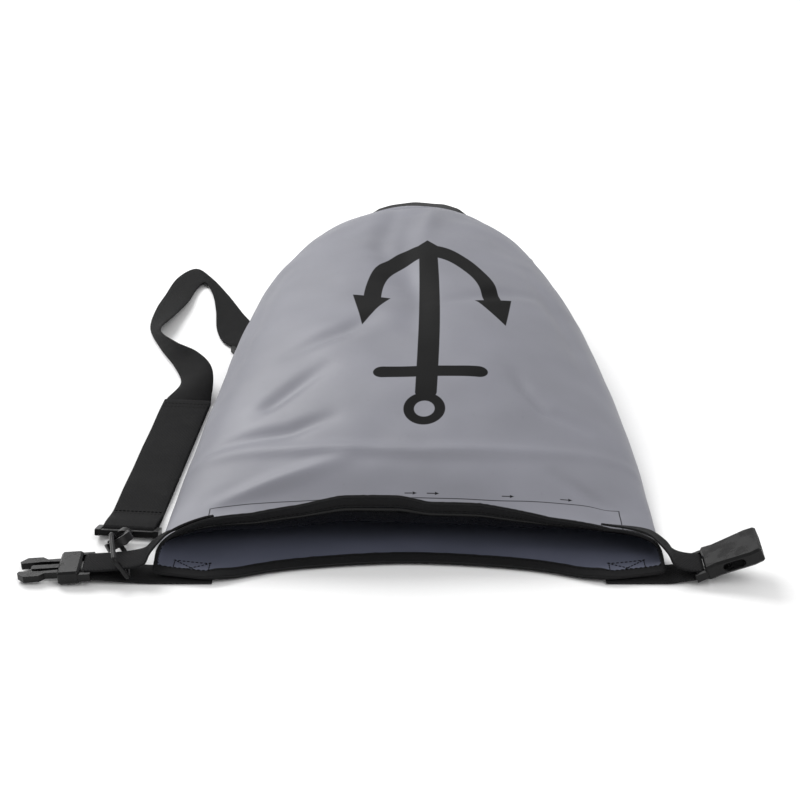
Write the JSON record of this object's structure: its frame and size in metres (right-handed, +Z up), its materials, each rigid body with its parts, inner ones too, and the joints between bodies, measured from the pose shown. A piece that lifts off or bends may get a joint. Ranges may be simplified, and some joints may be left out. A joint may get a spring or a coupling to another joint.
{
  "type": "dry bag",
  "caption": "Roll-top dry bag lying on its back with its stiffened mouth open, side release buckle ends at its lips, and a shoulder strap with a snap hook and slider.",
  "frame": {"origin": "on the ground, in the middle of the flat face that the bag rests on", "axes": "+X along the mouth, +Y from the mouth towards the base, +Z up from the ground"},
  "size_m": [0.5192, 0.5897, 0.0906],
  "materials": {
    "coated_fabric": "satin, PVC coated",
    "base_fabric": "satin, PVC coated",
    "seam_tape": "semi-gloss",
    "binding_tape": "ribbed grosgrain",
    "stiffener": "glossy",
    "webbing": "woven",
    "thread": "twisted",
    "strap_webbing": "woven, fine rib",
    "hook_plastic": "satin moulded",
    "ring_plastic": "satin moulded",
    "pin_steel": "satin",
    "buckle_plastic": "satin moulded"
  },
  "bodies": {
    "bag": {"front_panel": "coated_fabric", "rear_panel": "coated_fabric", "base_disc": "base_fabric", "base_rim": "base_fabric", "seam_tape": "seam_tape", "front_binding": "binding_tape", "rear_binding": "binding_tape", "front_stiffener": "stiffener", "rear_stiffener": "stiffener", "left_webbing": "webbing", "right_webbing": "webbing", "left_box_stitches": "thread", "right_box_stitches": "thread", "strap_end": "strap_webbing", "strap_stitches": "thread", "strap_loop": "strap_webbing", "strap_patch": "base_fabric", "hook_eye": "hook_plastic"},
    "ring": {"strap_ring": "ring_plastic"},
    "hook": {"hook_body": "hook_plastic", "hook_pin": "pin_steel", "hook_gate_spring": "pin_steel"},
    "gate": {"hook_gate": "hook_plastic"},
    "male_buckle": {"buckle_male": "buckle_plastic"},
    "near_prong": {"buckle_prong_near": "buckle_plastic"},
    "far_prong": {"buckle_prong_far": "buckle_plastic"},
    "female_buckle": {"buckle_female": "buckle_plastic"},
    "slider": {"strap_slider": "buckle_plastic"}
  },
  "joints": [
    {"name": "ring_tilt", "type": "hinge", "parent": "bag", "child": "ring", "pos_m": [-0.19834, -0.27777, 0.0069], "axis": [-0.1736, 0.9848, 0], "range_deg": [-5, 5]},
    {"name": "hook_swivel", "type": "hinge", "parent": "bag", "child": "hook", "pos_m": [-0.20453, -0.24546, 0.0105], "axis": [0.0959, 0.959, -0.2668], "range_deg": [-5, 5]},
    {"name": "gate_push", "type": "hinge", "parent": "hook", "child": "gate", "pos_m": [-0.21176, -0.24885, 0.00735], "axis": [-0.4909, 0.2787, 0.8254], "range_deg": [0, 18], "stiffness_Nm_per_rad": 0.05},
    {"name": "male_pivot", "type": "hinge", "parent": "bag", "child": "male_buckle", "pos_m": [-0.22434, -0.282, 0.0075], "axis": [0, 1, 0], "range_deg": [-1, 25]},
    {"name": "near_prong_squeeze", "type": "hinge", "parent": "male_buckle", "child": "near_prong", "pos_m": [-0.24459, -0.2898, 0.00608], "axis": [-0.0698, 0, 0.9976], "range_deg": [-6, 0], "stiffness_Nm_per_rad": 0.4},
    {"name": "far_prong_squeeze", "type": "hinge", "parent": "male_buckle", "child": "far_prong", "pos_m": [-0.24459, -0.2742, 0.00608], "axis": [-0.0698, 0, 0.9976], "range_deg": [0, 6], "stiffness_Nm_per_rad": 0.4},
    {"name": "female_pivot", "type": "hinge", "parent": "bag", "child": "female_buckle", "pos_m": [0.20234, -0.282, 0.0075], "axis": [0, 1, 0], "range_deg": [-30, 20]},
    {"name": "slider_slide", "type": "slide", "parent": "bag", "child": "slider", "axis": [0.5501, -0.8351, 0], "range_m": [-0.006, 0.006]}
  ]
}
